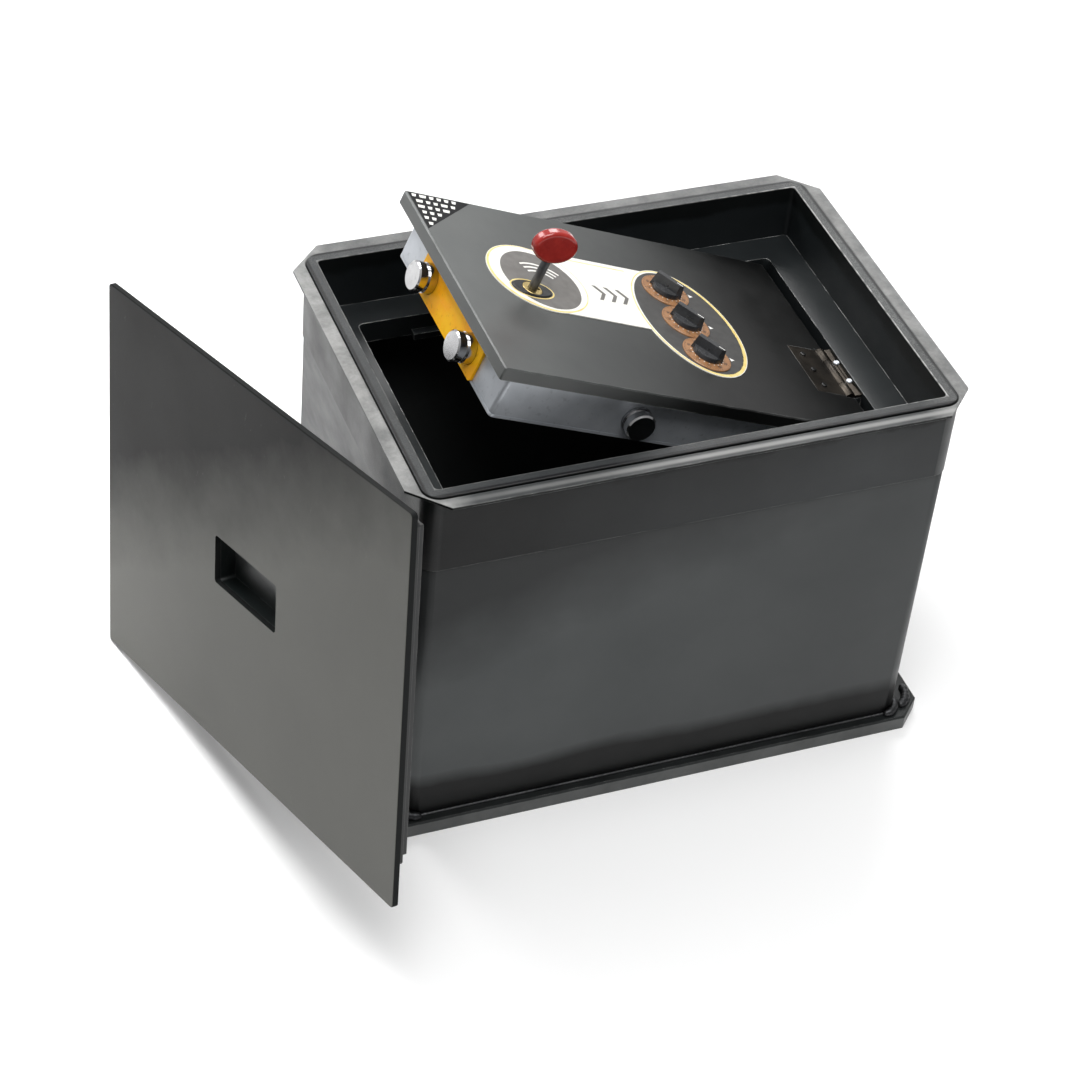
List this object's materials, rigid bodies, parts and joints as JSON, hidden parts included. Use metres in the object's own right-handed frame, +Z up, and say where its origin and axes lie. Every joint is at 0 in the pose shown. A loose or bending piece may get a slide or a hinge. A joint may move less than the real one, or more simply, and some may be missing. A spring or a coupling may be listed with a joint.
{
  "type": "floor safe",
  "caption": "In-floor safe: steel box with a flanged mouth, a hinged door with key lock, turning combination knobs and sliding bolts, and a loose cover plate with a finger recess.",
  "frame": {"origin": "centre of the base plate's underside, on the floor", "axes": "+Z up through the mouth; +X along the long side, towards the door's hinge; +Y towards the long side that is far from the viewer"},
  "size_m": [0.5203, 0.4177, 0.374],
  "materials": {
    "body_paint": "semi-gloss, slightly scuffed",
    "rim_paint": "satin, fine texture, worn inner edge",
    "door_paint": "satin, smooth",
    "cover_paint": "satin, fine texture",
    "plated_steel": "bright zinc, lightly brushed",
    "yellow_zinc": "yellow zinc plating, slightly glossy",
    "bolt_steel": "turned and polished",
    "hinge_steel": "bare steel, slightly brown",
    "lock_brass": "machined",
    "label_film": "printed film, satin",
    "dial_orange": "printed ring, satin",
    "knob_plastic": "moulded, slightly glossy",
    "key_plastic": "moulded, glossy",
    "key_steel": "nickel plated"
  },
  "bodies": {
    "safe_box": {"base_plate": "body_paint", "body_walls": "body_paint", "collar_flange": "rim_paint", "neck_frame": "rim_paint", "door_seat": "rim_paint", "door_stops": "rim_paint", "hinge_bracket": "rim_paint", "hinge_fixed_leaf": "hinge_steel", "hinge_pin": "hinge_steel", "hinge_fixed_screws": "plated_steel"},
    "door": {"door_plate": "door_paint", "hinge_moving_leaf": "hinge_steel", "hinge_door_screws": "plated_steel", "face_label": "label_film", "keyhole_escutcheon": "plated_steel", "lock_barrel": "lock_brass", "lock_case": "plated_steel", "guide_plate": "yellow_zinc", "back_cover": "plated_steel", "back_cover_posts": "plated_steel", "back_cover_screws": "plated_steel", "dial_ring_1": "dial_orange", "dial_ring_2": "dial_orange", "dial_ring_3": "dial_orange", "spindle_bush_1": "lock_brass", "spindle_bush_2": "lock_brass", "spindle_bush_3": "lock_brass"},
    "lock_plug": {"key_plug": "lock_brass"},
    "key": {"key_shank": "key_steel", "key_head": "key_plastic"},
    "end_bolts": {"end_bolt_near": "bolt_steel", "end_bolt_far": "bolt_steel", "bolt_carriage": "plated_steel"},
    "near_side_bolt": {"near_slide": "plated_steel", "near_bolt": "bolt_steel"},
    "far_side_bolt": {"far_slide": "plated_steel", "far_bolt": "bolt_steel"},
    "knob_1": {"combination_knob_1": "knob_plastic", "knob_spindle_1": "key_steel", "combination_wheel_1": "lock_brass"},
    "knob_2": {"combination_knob_2": "knob_plastic", "knob_spindle_2": "key_steel", "combination_wheel_2": "lock_brass"},
    "knob_3": {"combination_knob_3": "knob_plastic", "knob_spindle_3": "key_steel", "combination_wheel_3": "lock_brass"},
    "cover": {"cover_plate": "cover_paint", "cover_strip": "cover_paint", "cover_frame": "cover_paint", "finger_cup": "cover_paint"}
  },
  "joints": [
    {"name": "door_hinge", "type": "hinge", "parent": "safe_box", "child": "door", "pos_m": [0.1395, 0, 0.24475], "axis": [0, 1, 0], "range_deg": [-22, 68]},
    {"name": "key_turn", "type": "hinge", "parent": "door", "child": "lock_plug", "pos_m": [-0.06911, 0.001, 0.33038], "axis": [0.3746, 0, 0.9272], "range_deg": [0, 90]},
    {"name": "key_withdraw", "type": "slide", "parent": "lock_plug", "child": "key", "axis": [0.3746, 0, 0.9272], "range_m": [0, 0.035]},
    {"name": "end_bolts_throw", "type": "slide", "parent": "door", "child": "end_bolts", "axis": [-0.9272, 0, 0.3746], "range_m": [0, 0.01414]},
    {"name": "near_bolt_throw", "type": "slide", "parent": "door", "child": "near_side_bolt", "axis": [0, -1, 0], "range_m": [0, 0.0142]},
    {"name": "far_bolt_throw", "type": "slide", "parent": "door", "child": "far_side_bolt", "axis": [0, 1, 0], "range_m": [0, 0.0142]},
    {"name": "knob_1_turn", "type": "hinge", "parent": "door", "child": "knob_1", "pos_m": [0.03844, -0.04, 0.28693], "axis": [0.3746, 0, 0.9272], "continuous": true},
    {"name": "knob_2_turn", "type": "hinge", "parent": "door", "child": "knob_2", "pos_m": [0.03844, -0.005, 0.28693], "axis": [0.3746, 0, 0.9272], "continuous": true},
    {"name": "knob_3_turn", "type": "hinge", "parent": "door", "child": "knob_3", "pos_m": [0.03844, 0.03, 0.28693], "axis": [0.3746, 0, 0.9272], "continuous": true},
    {"name": "cover_lift", "type": "slide", "parent": "safe_box", "child": "cover", "axis": [0, 0, 1], "range_m": [0, 0.3]}
  ],
  "couplings": [
    {"joint": "key_turn", "follows": "end_bolts_throw", "rad_per_m": 111.07},
    {"joint": "near_bolt_throw", "follows": "end_bolts_throw", "ratio": 1},
    {"joint": "far_bolt_throw", "follows": "end_bolts_throw", "ratio": 1}
  ]
}
